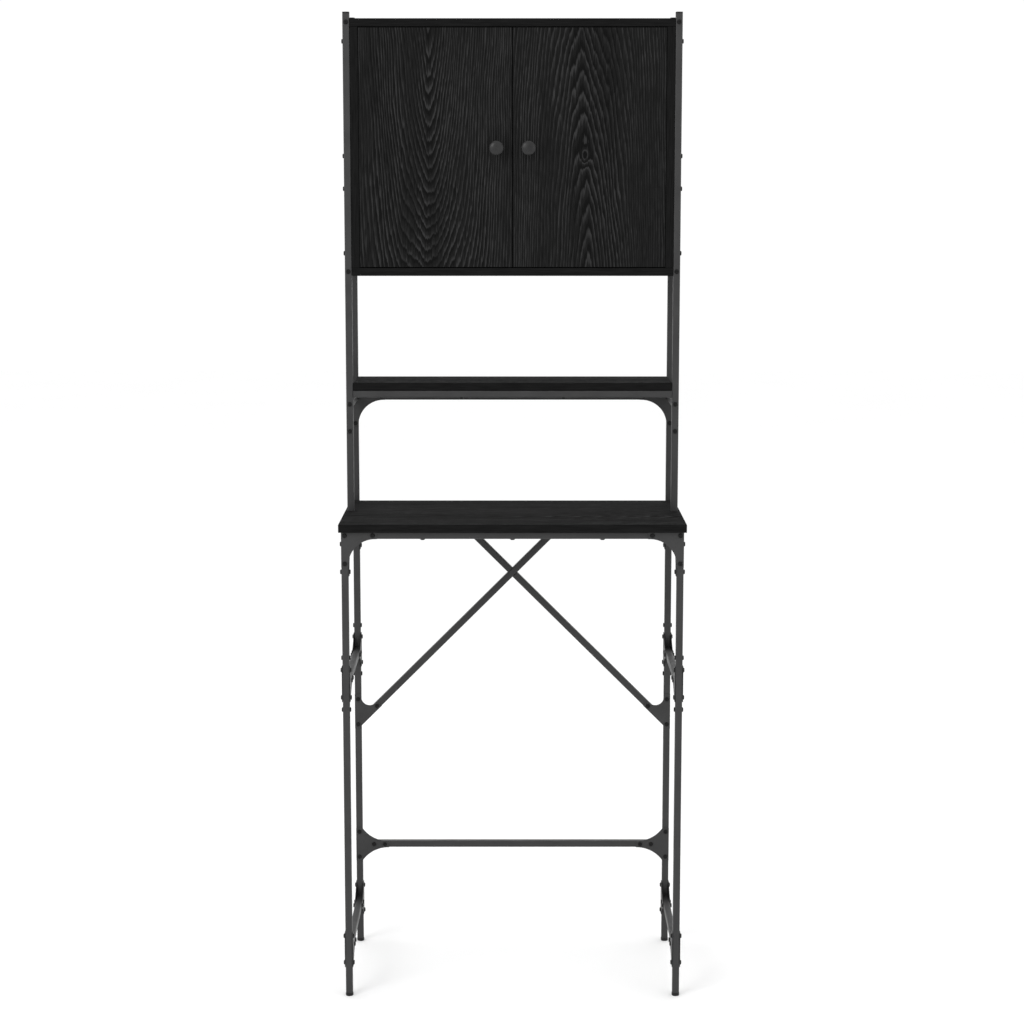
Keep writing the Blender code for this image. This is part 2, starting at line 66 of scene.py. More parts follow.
# One Math node: operation of up to three numbers.
def calc(tree, operation, first, second=0.0, third=0.0):
    node = tree.nodes.new("ShaderNodeMath")
    node.operation = operation
    for socket, value in zip(node.inputs, (first, second, third)):
        feed(tree, socket, value)
    return node.outputs[0]


# Coordinates times scale plus shift, in each direction.
def stretched(tree, place, scale, shift=(0, 0, 0)):
    node = tree.nodes.new("ShaderNodeMapping")
    node.inputs["Scale"].default_value = scale
    node.inputs["Location"].default_value = shift
    tree.links.new(place, node.inputs["Vector"])
    return node.outputs["Vector"]


def noise(tree, place, scale=1.0, detail=2.0, roughness=0.5):
    node = tree.nodes.new("ShaderNodeTexNoise")
    node.inputs["Scale"].default_value = scale
    node.inputs["Detail"].default_value = detail
    node.inputs["Roughness"].default_value = roughness
    tree.links.new(place, node.inputs["Vector"])
    return node.outputs["Fac"]


# A straight line from low..high to newLow..newHigh, clamped.
def remap(tree, value, low, high, newLow=0.0, newHigh=1.0):
    node = tree.nodes.new("ShaderNodeMapRange")
    for socket, number in zip(node.inputs, (value, low, high, newLow, newHigh)):
        feed(tree, socket, number)
    return node.outputs["Result"]


def blendColours(tree, factor, first, second):
    node = tree.nodes.new("ShaderNodeMix")
    node.data_type = "RGBA"
    feed(tree, node.inputs["Factor"], factor)
    for socket, colour in zip((node.inputs[6], node.inputs[7]), (first, second)):
        feed(tree, socket, colour if isinstance(colour, bpy.types.NodeSocket) else (*colour, 1.0))
    return node.outputs[2]


def ridges(tree, shader, height, strength, distance):
    node = tree.nodes.new("ShaderNodeBump")
    node.inputs["Strength"].default_value = strength
    node.inputs["Distance"].default_value = distance
    tree.links.new(height, node.inputs["Height"])
    tree.links.new(node.outputs["Normal"], shader.inputs["Normal"])


# How a coat's noises are read: share of the slow noise in the tone, and the range of each noise that counts.
coat = {"cloudShare": 0.6, "tone": (0.38, 0.62), "patches": 55.0, "wornAndHighlit": (0.42, 0.66), "specks": (0.68, 0.76),
        "cloudRange": (0.35, 0.65)}


# Powder coat: two greys mixed by slow and fine noise, orange-peel bumps, and dust specks. Along an edge the colour is
# a
# little lighter, in patches: partly wear where the coat is thinner, partly a painted highlight along the edges.
def paintedSteel(name, look):
    material, tree, shader, place = startMaterial(name)
    cloud = noise(tree, place, look["cloud"], 3.0)
    peel = noise(tree, place, look["peel"], 2.0)
    speck = noise(tree, place, look["speck"], 1.0)
    share = coat["cloudShare"]
    mottled = calc(tree, "ADD", calc(tree, "MULTIPLY", cloud, share), calc(tree, "MULTIPLY", peel, 1 - share))
    colour = blendColours(tree, remap(tree, mottled, *coat["tone"]), look["dark"], look["light"])
    edge = tree.nodes.new("ShaderNodeAttribute")
    edge.attribute_name = "rim"
    patches = remap(tree, noise(tree, place, coat["patches"], 3.0), *coat["wornAndHighlit"])
    # The lighter edge patches are partly wear and partly a painted highlight on the edges.
    wornAndHighlit = calc(tree, "MULTIPLY", edge.outputs["Fac"], patches)
    colour = blendColours(tree, calc(tree, "MULTIPLY", wornAndHighlit, look["wearAndHighlight"]), colour, look["dustColour"])
    dust = remap(tree, speck, *coat["specks"], 0.0, look["dust"])
    feed(tree, shader.inputs["Base Color"], blendColours(tree, dust, colour, look["dustColour"]))
    feed(tree, shader.inputs["Roughness"], remap(tree, cloud, *coat["cloudRange"], *look["roughness"]))
    shader.inputs["Metallic"].default_value = look["metallic"]
    shader.inputs["Specular IOR Level"].default_value = look["gloss"]
    ridges(tree, shader, peel, look["bump"], look["bumpDepth"])
    return material


# The wear entry says how much lighter the edges are, as wear and as a painted highlight.
powderCoatLook = {"dark": (0.0242, 0.0242, 0.0245), "light": (0.0335, 0.0335, 0.0338), "cloud": 22.0,
                  "peel": 1300.0, "speck": 900.0, "wearAndHighlight": 0.18, "dust": 0.30, "dustColour": (0.09, 0.09, 0.09),
                  "roughness": (0.40, 0.55), "metallic": 0.0, "gloss": 0.30, "bump": 0.35, "bumpDepth": 0.00012}
boltLook = {"dark": (0.003, 0.003, 0.003), "light": (0.007, 0.007, 0.007), "cloud": 260.0,
            "peel": 2500.0, "speck": 1500.0, "wearAndHighlight": 0.20, "dust": 0.25, "dustColour": (0.04, 0.04, 0.04),
            "roughness": (0.28, 0.44), "metallic": 0.0, "gloss": 0.18, "bump": 0.25, "bumpDepth": 0.00006}
knobLook = {"dark": (0.0100, 0.0100, 0.0102), "light": (0.0155, 0.0155, 0.0157), "cloud": 90.0,
            "peel": 1800.0, "speck": 1200.0, "wearAndHighlight": 0.20, "dust": 0.2, "dustColour": (0.09, 0.09, 0.09),
            "roughness": (0.30, 0.42), "metallic": 0.0, "gloss": 0.32, "bump": 0.2, "bumpDepth": 0.00008}
plasticLook = {"dark": (0.008, 0.008, 0.008), "light": (0.014, 0.014, 0.014), "cloud": 60.0,
               "peel": 2200.0, "speck": 800.0, "wearAndHighlight": 0.20, "dust": 0.4, "dustColour": (0.05, 0.048, 0.046),
               "roughness": (0.48, 0.64), "metallic": 0.0, "gloss": 0.25, "bump": 0.3, "bumpDepth": 0.00008}
nickelLook = {"dark": (0.50, 0.50, 0.49), "light": (0.62, 0.62, 0.60), "cloud": 120.0,
              "peel": 1500.0, "speck": 700.0, "wearAndHighlight": 0.20, "dust": 0.3, "dustColour": (0.30, 0.29, 0.28),
              "roughness": (0.22, 0.36), "metallic": 1.0, "gloss": 0.50, "bump": 0.06, "bumpDepth": 0.00006}
powderCoat = paintedSteel("powderCoat", powderCoatLook)
boltBlack = paintedSteel("boltBlack", boltLook)
knobMetal = paintedSteel("knobMetal", knobLook)
blackPlastic = paintedSteel("blackPlastic", plasticLook)
nickel = paintedSteel("nickel", nickelLook)

oakLook = {
    "dark": (0.0062, 0.0062, 0.0062), "body": (0.0122, 0.0122, 0.0122), "light": (0.0330, 0.0330, 0.0332),
    "band": (0.0112, 0.0112, 0.0112),
    "steep": 118.0, "tip": 0.0045, "widening": 330.0, "reach": 0.070,   # the ring formula
    "uneven": 1.4, "fray": 0.24,                                        # rings that noise moves a line by
    "lateRise": (0.58, 0.84), "lateFall": (1.0, 0.90),                  # where a ring's light line starts and ends
    "early": (0.42, 0.10), "heart": 0.032, "heartDark": 0.85, "stripeDark": (0.22, 0.80),
    "fibreShare": 0.70, "poreShare": 0.55, "poreDepth": 0.7,
    "knotSize": (0.008, 0.017), "knotRings": 2.2, "knotCore": (0.80, 0.95), "knotDark": 0.9,
    "roughness": (0.62, 0.78), "gloss": 0.012, "bump": 0.5, "bumpDepth": 0.0002,
    "noises": {   # how often along and across in a metre, then a shift, detail and roughness
        "sway": (2.0, 6.0, 0.0, 2.0, 0.5), "uneven": (1.1, 19.0, 3.3, 3.0, 0.55),
        "fibre": (24.0, 430.0, 5.3, 3.0, 0.6), "stripe": (0.7, 15.0, 7.7, 1.0, 0.5),
        "patch": (4.0, 30.0, 1.9, 3.0, 0.5), "pore": (55.0, 1400.0, 2.4, 1.0, 0.5),
    },
}


# Flat-sawn oak. Ring number = steep * sqrt(u*u + tip*tip) + widening * u*u
# + (rise * v + curve * v*v) / (1 + (u / reach)^2) + noise, with u the place across the grain from the heart line and
# v the place along it. So rings close in long pointed arches at the heart and run straight beside it. A light line
# is drawn late in each ring, and a dark one early in it, most of all near the heart. Edge bands have fine fibre only.
def blackOak(name, board, look=oakLook):
    material, tree, shader, place = startMaterial(name)
    split = tree.nodes.new("ShaderNodeSeparateXYZ")
    tree.links.new(place, split.inputs[0])
    along, across = split.outputs[board["along"]], split.outputs[board["across"]]
    grains = {}
    for kind, (alongScale, acrossScale, shift, detail, roughness) in look["noises"].items():
        scale = [acrossScale] * 3
        scale[board["along"]] = alongScale
        move = board["seed"] + shift
        spot = stretched(tree, place, scale, (move, move * 0.7, move * 1.3))
        grains[kind] = noise(tree, spot, 1.0, detail, roughness)

    bend = remap(tree, grains["sway"], 0.2, 0.8, -board["sway"], board["sway"])
    u = calc(tree, "ADD", calc(tree, "SUBTRACT", across, board["heart"]), bend)
    v = calc(tree, "SUBTRACT", along, board["centre"])
    square = calc(tree, "MULTIPLY", u, u)
    arms = calc(tree, "SQRT", calc(tree, "ADD", square, look["tip"] ** 2))
    ring = calc(tree, "MULTIPLY_ADD", arms, look["steep"], calc(tree, "MULTIPLY", square, look["widening"]))
    climb = calc(tree, "MULTIPLY", v, calc(tree, "MULTIPLY_ADD", v, board["curve"], board["rise"]))
    spread = calc(tree, "MULTIPLY_ADD", square, 1 / look["reach"] ** 2, 1.0)
    ring = calc(tree, "ADD", ring, calc(tree, "DIVIDE", climb, spread))
    for kind, most in (("uneven", look["uneven"]), ("fibre", look["fray"])):
        ring = calc(tree, "ADD", ring, remap(tree, grains[kind], 0.2, 0.8, -most, most))
    knot = None
    if "knot" in board:   # exp(-(du*du + dv*dv)), which pushes the rings round it
        du, dv = (calc(tree, "DIVIDE", calc(tree, "SUBTRACT", axis, middle), size)
                  for axis, middle, size in zip((across, along), board["knot"], look["knotSize"]))
        far = calc(tree, "ADD", calc(tree, "MULTIPLY", du, du), calc(tree, "MULTIPLY", dv, dv))
        knot = calc(tree, "EXPONENT", calc(tree, "MULTIPLY", far, -1.0))
        ring = calc(tree, "MULTIPLY_ADD", knot, look["knotRings"], ring)

    phase = calc(tree, "FRACT", ring)
    late = calc(tree, "MULTIPLY", remap(tree, phase, *look["lateRise"]), remap(tree, phase, *look["lateFall"]))
    near = calc(tree, "EXPONENT", calc(tree, "MULTIPLY", square, -1 / look["heart"] ** 2))
    depth = calc(tree, "MAXIMUM", calc(tree, "MULTIPLY", near, look["heartDark"]),
                 remap(tree, grains["stripe"], 0.52, 0.62, *look["stripeDark"]))
    early = calc(tree, "MULTIPLY", remap(tree, phase, *look["early"]), depth)
    lines = calc(tree, "MULTIPLY", late, remap(tree, grains["patch"], 0.36, 0.60, 0.25, 1.0))
    soft = remap(tree, grains["fibre"], 0.25, 0.75, -0.5, 0.5)
    grain = calc(tree, "MULTIPLY_ADD", soft, look["fibreShare"], calc(tree, "SUBTRACT", lines, early))
    pores = remap(tree, grains["pore"], 0.60, 0.70)

    tone = blendColours(tree, remap(tree, grain, -0.45, 0.15), look["dark"], look["body"])
    tone = blendColours(tree, remap(tree, grain, 0.12, 0.95), tone, look["light"])
    tone = blendColours(tree, calc(tree, "MULTIPLY", pores, look["poreShare"]), tone, look["dark"])
    if knot:
        core = calc(tree, "MULTIPLY", remap(tree, knot, *look["knotCore"]), look["knotDark"])
        tone = blendColours(tree, core, tone, look["dark"])
    banded = None
    for axis, way, limit in board["bands"]:
        beyond = calc(tree, "GREATER_THAN", calc(tree, "MULTIPLY", split.outputs[axis], way), way * limit)
        banded = beyond if banded is None else calc(tree, "MAXIMUM", banded, beyond)
    plain = blendColours(tree, remap(tree, grains["fibre"], 0.3, 0.7), look["dark"], look["band"])
    feed(tree, shader.inputs["Base Color"], blendColours(tree, banded, tone, plain))
    shine, dull = look["roughness"]
    feed(tree, shader.inputs["Roughness"], remap(tree, grain, -0.3, 1.0, dull, shine))
    shader.inputs["Specular IOR Level"].default_value = look["gloss"]
    height = calc(tree, "MULTIPLY_ADD", pores, -look["poreDepth"], grain)
    ridges(tree, shader, calc(tree, "MULTIPLY", height, calc(tree, "SUBTRACT", 1.0, banded)), look["bump"],
           look["bumpDepth"])
    return material


# Where a board's edge bands start: a little inside its box, on each side that is named by axis and way.
def edgesOf(node, ways, depth=0.0007):
    low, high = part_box(node)
    return [(axis, way, high[axis] - depth if way > 0 else low[axis] + depth) for axis, way in ways]


doorEdges = [(0, 1), (0, -1), (2, 1), (2, -1)]
shelfEdges = [(1, -1), (1, 1), (0, 1), (0, -1)]
sideEdges = [(1, -1), (1, 1)]
boards = {
    "left_door": {"along": 2, "across": 0, "heart": -0.164, "centre": 1.60, "rise": -36.0, "curve": 32.0,
                  "sway": 0.012, "seed": 3.1, "edges": doorEdges},
    "right_door": {"along": 2, "across": 0, "heart": 0.137, "centre": 1.60, "rise": 25.0, "curve": 8.0,
                   "sway": 0.012, "seed": 8.4, "edges": doorEdges, "knot": (0.137, 1.589)},
    "wide_shelf": {"along": 0, "across": 1, "heart": -0.05, "centre": 0.0, "rise": 14.0, "curve": 20.0,
                   "sway": 0.020, "seed": 12.7, "edges": shelfEdges},
    "middle_shelf": {"along": 0, "across": 1, "heart": 0.06, "centre": 0.1, "rise": -16.0, "curve": 18.0,
                     "sway": 0.014, "seed": 17.2, "edges": shelfEdges},
    "cabinet_top": {"along": 0, "across": 1, "heart": 0.09, "centre": 0.0, "rise": 18.0, "curve": -14.0,
                    "sway": 0.014, "seed": 21.9, "edges": shelfEdges},
    "cabinet_bottom": {"along": 0, "across": 1, "heart": 0.05, "centre": 0.0, "rise": 16.0, "curve": 12.0,
                       "sway": 0.014, "seed": 26.5, "edges": shelfEdges},
    "cabinet_left_side": {"along": 2, "across": 1, "heart": 0.07, "centre": 1.60, "rise": -26.0, "curve": 14.0,
                          "sway": 0.012, "seed": 31.3, "edges": sideEdges},
    "cabinet_right_side": {"along": 2, "across": 1, "heart": 0.09, "centre": 1.60, "rise": 24.0, "curve": 18.0,
                           "sway": 0.012, "seed": 35.8, "edges": sideEdges},
}
for node, board in boards.items():
    board["bands"] = edgesOf(node, board["edges"])
    nodes[node].material_slots[0].material = blackOak("oak_" + node, board)
for side in sides:
    nodes[side + "_brace"].material_slots[0].material = powderCoat
    for level in ("lower", "upper"):
        nodes[side + "_" + level + "_hinge_arm"].material_slots[0].material = nickel
print("finishes made:", len(bpy.data.materials))


# A shape is (points, quads, caps, rim): an n x 3 array, an m x 4 array, a list of index arrays, and for each point how
# much of an edge it is, from 0 on a flat to 1 on an edge, where the coat is lightened as wear and as a painted
# highlight.
# Rings are rows x columns x 3: each row is a closed loop, joined to the next one by quads. The first and last loops
# are capped, or joined to each other where the rows wrap.
def sheetOf(rings, wrapRows=False, rim=None):
    rows, columns = rings.shape[:2]
    index = np.arange(rows * columns).reshape(rows, columns)
    lower = index if wrapRows else index[:-1]
    upper = np.roll(index, -1, 0) if wrapRows else index[1:]
    quads = np.stack([lower, np.roll(lower, -1, 1), np.roll(upper, -1, 1), upper], -1).reshape(-1, 4)
    caps = [] if wrapRows else [index[0][::-1], index[-1]]
    rim = np.zeros((rows, columns)) if rim is None else np.broadcast_to(rim, (rows, columns))
    return rings.reshape(-1, 3), quads, caps, rim.reshape(-1)


# Point = origin + x * axes[0] + y * axes[1] + z * axes[2]. Faces are turned round for a mirrored place.
def placed(shape, origin, axes=((1, 0, 0), (0, 1, 0), (0, 0, 1))):
    points, quads, caps, rim = shape
    axes = np.array(axes, float)
    if np.linalg.det(axes) < 0:
        quads = quads[:, ::-1]
        caps = [cap[::-1] for cap in caps]
    return points @ axes + np.array(origin, float), quads, caps, rim


# One mesh of shapes, each with the number of its finish.
def makePiece(name, parts, finishes, standsFor=(), body="frame"):
    allPoints, allRims, faces, finishOf, offset = [], [], [], [], 0
    for (points, quads, caps, rim), finish in parts:
        allPoints.append(points)
        allRims.append(rim)
        faces += (quads + offset).tolist() + [(cap + offset).tolist() for cap in caps]
        finishOf += [finish] * (len(quads) + len(caps))
        offset += len(points)
    mesh = bpy.data.meshes.new(name)
    mesh.from_pydata(np.concatenate(allPoints).tolist(), [], faces)
    for finish in finishes:
        mesh.materials.append(finish)
    mesh.polygons.foreach_set("material_index", finishOf)
    mesh.attributes.new("rim", "FLOAT", "POINT").data.foreach_set("value", np.concatenate(allRims))
    mesh.shade_smooth()
    mesh.set_sharp_from_angle(angle=math.radians(35))
    piece = bpy.data.objects.new(name, mesh)
    bpy.context.scene.collection.objects.link(piece)
    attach(piece, body)
    if standsFor:
        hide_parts(*standsFor)


# The box's middle, and its size.
def middleOf(node):
    low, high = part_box(node)
    return (low + high) / 2, high - low


# A square with quarter arcs at its corners. A point just past each arc keeps the flats flat.
def roundedSquare(side, corner, steps=6, support=0.00025):
    turns = np.radians(np.linspace(0, 90, steps + 1))
    arc = corner * np.stack([np.cos(turns), np.sin(turns)], 1)
    arc = np.concatenate([arc[:1] - [0, support], arc, arc[-1:] - [support, 0]]) + side / 2 - corner
    quarterTurn = np.array([[0, 1], [-1, 0]])
    return np.concatenate([arc @ np.linalg.matrix_power(quarterTurn, count) for count in range(4)])


# The outside and inside loops of the tube's section, carried from start to end, with a flat rim.
def squareTube(start, end):
    start, end = np.array(start, float), np.array(end, float)
    way = (end - start) / np.linalg.norm(end - start)
    first = np.cross(way, (0, 0, 1) if abs(way[2]) < 0.5 else (0, 1, 0))
    first /= np.linalg.norm(first)
    second = np.cross(way, first)
    outer = roundedSquare(stock["tube"], stock["corner"])
    inner = roundedSquare(stock["tube"] - 2 * stock["wall"], stock["corner"] - stock["wall"])
    loops = [(inner, start), (outer, start), (outer, end), (inner, end)]
    rings = np.stack([middle + loop[:, :1] * first + loop[:, 1:] * second for loop, middle in loops])
    # Arc points are edges: the coat is lightened there, partly wear and partly a painted highlight.
    onArc = np.concatenate([[0, 0], np.ones(len(outer) // 4 - 4), [0, 0]])
    return sheetOf(rings, wrapRows=True, rim=np.tile(onArc, 4))


# Radius and height pairs turned about Z: (r cos a, r sin a, h), from the bottom of the profile to its top.
def turnedShape(profile, around):
    profile = np.array(profile, float)
    angles = np.linspace(0, 2 * math.pi, around, endpoint=False)
    x = profile[:, :1] * np.cos(angles)
    y = profile[:, :1] * np.sin(angles)
    z = np.repeat(profile[:, 1:], around, 1)
    return sheetOf(np.stack([x, y, z], -1))


# Every corner moved inwards by the same distance from both of its edges, by its mitre.
def inset(outline, distance):
    before = outline - np.roll(outline, 1, 0)
    after = np.roll(before, -1, 0)
    normals = []
    for edge in (before, after):
        edge = edge / np.linalg.norm(edge, axis=1, keepdims=True)
        normals.append(np.stack([-edge[:, 1], edge[:, 0]], 1))
    mitre = normals[0] + normals[1]
    mitre /= np.maximum((mitre * normals[0]).sum(1, keepdims=True), 0.3)
    return outline + distance * mitre


# A flat plate about its middle plane: the outline at both faces, drawn in by the ease at the edges.
def plateShape(outline, thickness, ease=0.00025):
    half = thickness / 2
    levels = [(ease, -half), (0.0, -half + ease), (0.0, half - ease), (ease, half)]
    rings = [np.column_stack([inset(outline, distance), np.full(len(outline), height)])
             for distance, height in levels]
    # The plate's side walls are edges: the coat is lightened there, partly wear and partly a painted highlight.
    return sheetOf(np.stack(rings), rim=np.array([[0], [1], [1], [0]]))


# Centre + radius * (cos a, sin a), for angles from start to end in degrees.
def arcOf(centre, radius, start, end, steps):
    turns = np.radians(np.linspace(start, end, steps + 1))
    return np.array(centre) + radius * np.stack([np.cos(turns), np.sin(turns)], 1)


boltHead = {"radius": 0.0045, "height": 0.0023, "edge": 0.15, "crown": 0.45, "rise": (0, 18, 38, 58),
            "socket": 0.0014, "socketDepth": 0.0011, "around": 18}


# A domed head with a six-sided socket. Outside, radius and height follow a quarter ellipse. The socket's radius is
# flat / cos(angle from the nearest flat's middle).
def buttonHead(look=boltHead):
    angles = np.linspace(0, 2 * math.pi, look["around"], endpoint=False)
    lift = np.radians(look["rise"])
    edge = look["height"] * look["edge"]
    radius = np.concatenate([[1.0], 1 - look["crown"] + look["crown"] * np.cos(lift)]) * look["radius"]
    height = np.concatenate([[0.0], edge + (look["height"] - edge) * np.sin(lift) / math.sin(lift[-1])])
    outside = np.stack([radius[:, None] * np.cos(angles), radius[:, None] * np.sin(angles),
                        np.repeat(height[:, None], len(angles), 1)], -1)
    sixth = math.pi / 3
    flat = look["socket"] / np.cos(np.mod(angles, sixth) - sixth / 2)
    socket = [np.stack([flat * np.cos(angles), flat * np.sin(angles), np.full(len(angles), level)], -1)
              for level in (look["height"], look["height"] - look["socketDepth"])]
    return sheetOf(np.concatenate([outside, socket]))


headShape = buttonHead()
facing = {   # a shape's own X, Y and Z where its Z faces this way
    "-Y": ((1, 0, 0), (0, 0, 1), (0, -1, 0)),
    "+Y": ((1, 0, 0), (0, 0, -1), (0, 1, 0)),
    "+X": ((0, 1, 0), (0, 0, 1), (1, 0, 0)),
    "-X": ((0, -1, 0), (0, 0, 1), (-1, 0, 0)),
    "-Z": ((1, 0, 0), (0, -1, 0), (0, 0, -1)),
}


def head(spot, way):
    return placed(headShape, spot, facing[way])


def sideways(sign):
    return "+X" if sign > 0 else "-X"


# A tube along the longest side of the node's box.
def tubeFromBox(node):
    middle, size = middleOf(node)
    axis = max(range(3), key=lambda i: size[i])
    ends = [middle.copy(), middle.copy()]
    for end, corner in zip(ends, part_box(node)):
        end[axis] = corner[axis]
    return squareTube(*ends)


plainTubes = ["front_shelf_rail", "rear_shelf_rail", "hutch_front_rail", "hutch_rear_rail", "rear_crossbar"]
for side in sides:
    plainTubes += [side + "_" + part for part in (
        "front_leg", "rear_post", "hutch_post", "low_side_rail", "mid_side_rail", "hutch_side_rail",
        "cabinet_lower_side_rail", "cabinet_upper_side_rail")]
for node in plainTubes:
    makePiece(node + "_tube", [(tubeFromBox(node), 0)], [powderCoat], [node])
print("tubes made:", len(plainTubes))


teePlate = {"half": 0.0340, "reach": 0.0605, "arcEnd": 0.0590, "postBolt": 0.02625, "railBolts": (0.0298, 0.0519)}
cornerPlate = {"reach": 0.0600, "arc": 0.0500, "railBolt": 0.0523, "postBolt": 0.0530}
bracePlate = {"levels": (0.4470, 0.5180), "foot": 0.4555, "arc": 0.0170, "past": 0.0070,
              "postBolts": (0.4556, 0.5074), "bolt": (0.0383, 0.4936)}
halfTube = stock["tube"] / 2
plateMiddle = halfTube + stock["gap"] + stock["plate"] / 2    # from a tube's centre line to a plate's middle
seat = halfTube + stock["gap"] + stock["plate"]               # and to the outside of the plate


# Over the post from -half to +half, and drawn in along the rail by an arc on each side.
def teeOutline(look=teePlate, steps=14):
    rise = look["half"] - halfTube
    run = look["arcEnd"] - halfTube
    radius = (run * run + rise * rise) / (2 * rise)
    sweep = math.degrees(math.asin(run / radius))
    upper = arcOf((look["arcEnd"], halfTube + radius), radius, 270 - sweep, 270, steps)
    return np.concatenate([[(-halfTube, -look["half"])], upper * (1, -1),
                           [(look["reach"], -halfTube), (look["reach"], halfTube)], upper[::-1],
                           [(-halfTube, look["half"])]])


# Two arms of a tube's width, with a quarter arc between them.
def cornerOutline(look=cornerPlate, steps=18):
    reach, arc = look["reach"], look["arc"]
    inner = arcOf((halfTube + arc, -halfTube - arc), arc, 90, 180, steps)
    return np.concatenate([[(-halfTube, halfTube), (-halfTube, -reach), (halfTube, -reach)], inner[::-1],
                           [(reach, -halfTube), (reach, halfTube)]])


# Over the post between its two levels, with an arm along the brace at 45 degrees.
def braceOutline(look=bracePlate, steps=16):
    lean = halfTube * math.sqrt(2)
    arcX = halfTube + look["arc"]
    arcY = look["foot"] + lean + arcX + math.sqrt(2) * look["arc"]
    past, across = look["past"] / math.sqrt(2), halfTube / math.sqrt(2)
    tipX, tipY = look["bolt"][0] + past, look["bolt"][1] + past
    inner = arcOf((arcX, arcY), look["arc"], -45, -180, steps)
    low, high = look["levels"]
    return np.concatenate([[(-halfTube, low), (halfTube, low), (halfTube, look["foot"] + halfTube - lean),
                            (tipX + across, tipY - across), (tipX - across, tipY + across)], inner,
                           [(halfTube, high), (-halfTube, high)]])


teeShape = plateShape(teeOutline(), stock["plate"])
cornerShape = plateShape(cornerOutline(), stock["plate"])
braceShape = plateShape(braceOutline(), stock["plate"])
plateFinishes = [powderCoat, boltBlack]


# Stands a plate in the side plane, with its own X towards the middle of the rail.
def acrossSide(shape, x, y, z, way):
    return placed(shape, (x, y, z), ((0, way, 0), (0, 0, 1), (1, 0, 0)))


# A head at each end of every bolt that crosses a tube from side to side.
def throughBolts(x, spots, reach, finish):
    return [(head((x + sign * reach, y, z), sideways(sign)), finish) for sign in (-1, 1) for y, z in spots]


def teePair(node, way):
    middle, _ = middleOf(node)
    low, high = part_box(node)
    x, z = middle.x, middle.z
    y = low.y + halfTube if way > 0 else high.y - halfTube
    parts = [(acrossSide(teeShape, x + shift, y, z, way), 0) for shift in (-plateMiddle, plateMiddle)]
    spots = [(y, z + rise * teePlate["postBolt"]) for rise in (-1, 1)]
    spots += [(y + way * reach, z) for reach in teePlate["railBolts"]]
    makePiece(node + "_plates", parts + throughBolts(x, spots, seat, 1), plateFinishes, [node])


# The rail under the wide shelf, with a corner plate inside each end and bolts through both.
def shelfSideRail(side, sign):
    node = side + "_shelf_side_rail"
    leg, _ = middleOf(side + "_front_leg")
    post, _ = middleOf(side + "_rear_post")
    x, z = leg.x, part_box(node)[0].z + cornerPlate["reach"]
    clear = halfTube + stock["gap"]
    parts = [(squareTube((x, leg.y + clear, z), (x, post.y - clear, z)), 0)]
    reach = cornerPlate["railBolt"]
    for y, way in ((leg.y, 1), (post.y, -1)):
        parts.append((acrossSide(cornerShape, x - sign * plateMiddle, y, z, way), 0))
        for dy, dz in ((way * reach, 0), (0, 0), (0, -reach)):
            parts.append((head((x + sign * clear, y + dy, z + dz), sideways(sign)), 1))
            parts.append((head((x - sign * seat, y + dy, z + dz), sideways(-sign)), 1))
    makePiece(node + "_set", parts, plateFinishes, [node])


# A plate on the front of the tubes, with its own X towards the rack's middle. Spots are (distance inwards, height)
# from the tubes' crossing.
def frontGusset(node, post, sign, shape, z, spots):
    x, face = middleOf(post)[0].x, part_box(post)[0].y - stock["gap"]
    inwards = ((-sign, 0, 0), (0, 0, 1), (0, 1, 0))
    parts = [(placed(shape, (x, face - stock["plate"] / 2, z), inwards), 0)]
    parts += [(head((x - sign * reach, face - stock["plate"], z + rise), "-Y"), 1) for reach, rise in spots]
    makePiece(node + "_plate", parts, plateFinishes, [node])


cornerSpots = [(0, 0), (cornerPlate["railBolt"], 0), (0, -cornerPlate["postBolt"])]
teeSpots = [(0, rise * teePlate["postBolt"]) for rise in (-1, 1)] + [(reach, 0) for reach in teePlate["railBolts"]]
braceSpots = [(0, z) for z in bracePlate["postBolts"]] + [bracePlate["bolt"]]
for side, sign in sides.items():
    for end, way in (("front", 1), ("rear", -1)):
        for level in ("low", "mid"):
            teePair("_".join((side, end, level, "gusset_pair")), way)
    shelfSideRail(side, sign)
    leg, post = side + "_front_leg", side + "_rear_post"
    for place, tube, spots in (("front", leg, cornerSpots), ("hutch", post, cornerSpots[1:])):
        node = side + "_" + place + "_corner_gusset"
        frontGusset(node, tube, sign, cornerShape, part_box(node)[1].z - halfTube, spots)
    node = side + "_crossbar_gusset"
    frontGusset(node, post, sign, teeShape, middleOf(node)[0].z, teeSpots)
    frontGusset(side + "_brace_gusset", post, sign, braceShape, 0.0, braceSpots)
print("gusset plates made")


